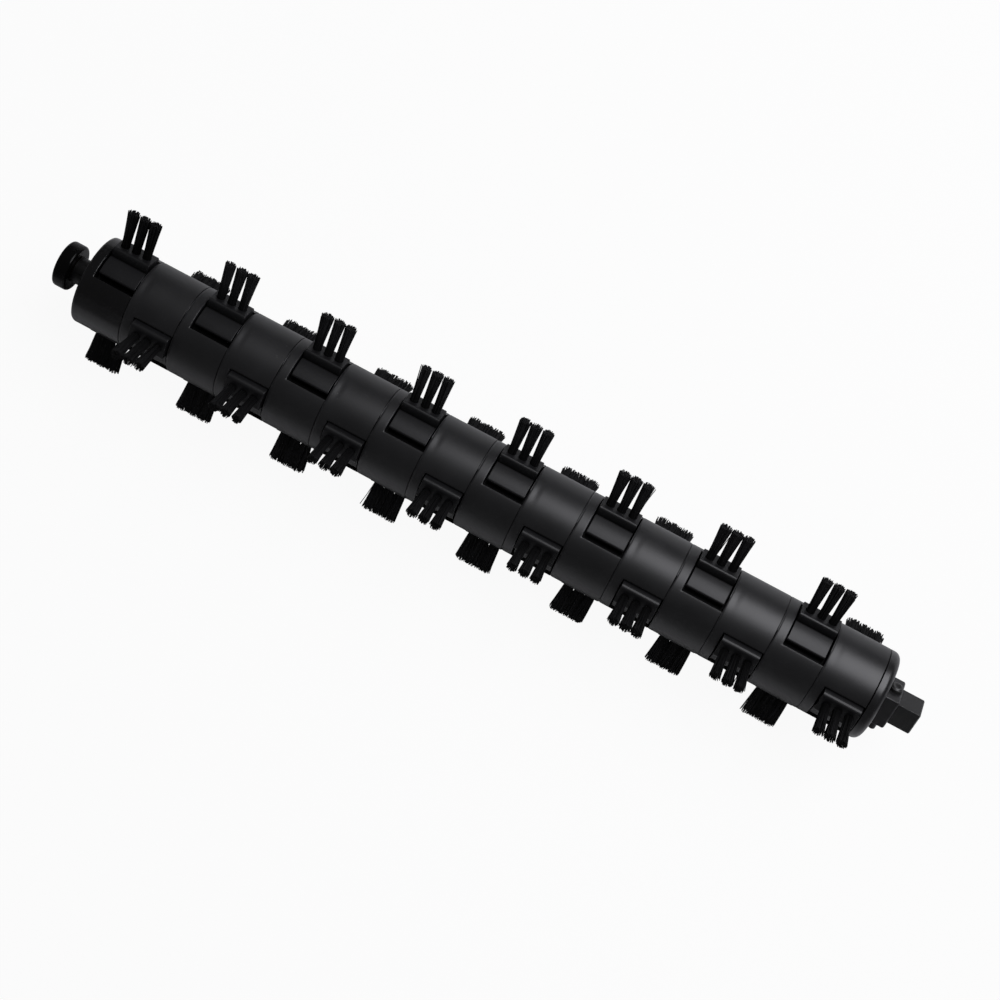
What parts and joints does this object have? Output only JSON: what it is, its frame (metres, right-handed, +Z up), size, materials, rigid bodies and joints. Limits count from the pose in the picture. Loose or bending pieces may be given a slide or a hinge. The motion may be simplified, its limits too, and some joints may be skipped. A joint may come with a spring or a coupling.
{
  "type": "sweeper brush roller",
  "caption": "Cylindrical sweeper brush roller with staggered rows of radial bristle tufts, a square drive stub at one end and a booted bearing at the other",
  "frame": {"origin": "on the roller's axis, midway along its overall length, which is the centre of its bounding box", "axes": "+X runs along the roller from the idle end to the drive end, +Z is up as it lies on its two lower rows of tufts, and +Y is level across it"},
  "size_m": [0.4084, 0.0592, 0.0592],
  "materials": {
    "ring_plastic": "satin black moulded plastic",
    "carrier_plastic": "satin black moulded plastic",
    "bristle": "black nylon filament",
    "black_steel": "black coated steel bar",
    "black_fastener": "black coated steel",
    "sintered_bush": "sintered bronze",
    "boot_rubber": "smooth glossy black rubber"
  },
  "bodies": {
    "roller": {"ring_01": "ring_plastic", "ring_02": "ring_plastic", "ring_03": "ring_plastic", "ring_04": "ring_plastic", "ring_05": "ring_plastic", "ring_06": "ring_plastic", "ring_07": "ring_plastic", "ring_08": "ring_plastic", "ring_09": "ring_plastic", "ring_10": "ring_plastic", "ring_11": "ring_plastic", "ring_12": "ring_plastic", "ring_13": "ring_plastic", "ring_14": "ring_plastic", "ring_15": "ring_plastic", "ring_16": "ring_plastic", "brush_carriers_01": "carrier_plastic", "brush_carriers_02": "carrier_plastic", "brush_carriers_03": "carrier_plastic", "brush_carriers_04": "carrier_plastic", "brush_carriers_05": "carrier_plastic", "brush_carriers_06": "carrier_plastic", "brush_carriers_07": "carrier_plastic", "brush_carriers_08": "carrier_plastic", "brush_carriers_09": "carrier_plastic", "brush_carriers_10": "carrier_plastic", "brush_carriers_11": "carrier_plastic", "brush_carriers_12": "carrier_plastic", "brush_carriers_13": "carrier_plastic", "brush_carriers_14": "carrier_plastic", "brush_carriers_15": "carrier_plastic", "brush_carriers_16": "carrier_plastic", "bristle_tufts_01": "bristle", "bristle_tufts_02": "bristle", "bristle_tufts_03": "bristle", "bristle_tufts_04": "bristle", "bristle_tufts_05": "bristle", "bristle_tufts_06": "bristle", "bristle_tufts_07": "bristle", "bristle_tufts_08": "bristle", "bristle_tufts_09": "bristle", "bristle_tufts_10": "bristle", "bristle_tufts_11": "bristle", "bristle_tufts_12": "bristle", "bristle_tufts_13": "bristle", "bristle_tufts_14": "bristle", "bristle_tufts_15": "bristle", "bristle_tufts_16": "bristle", "square_shaft": "black_steel", "drive_end_cap": "ring_plastic", "cross_bolt": "black_fastener", "cross_nut": "black_fastener"},
    "idle_bearing_body": {"idle_bush": "sintered_bush", "idle_boot": "boot_rubber"}
  },
  "joints": [
    {"name": "idle_bearing_spin", "type": "hinge", "parent": "roller", "child": "idle_bearing_body", "pos_m": [-0.2009, 0, 0], "axis": [1, 0, 0], "continuous": true}
  ]
}
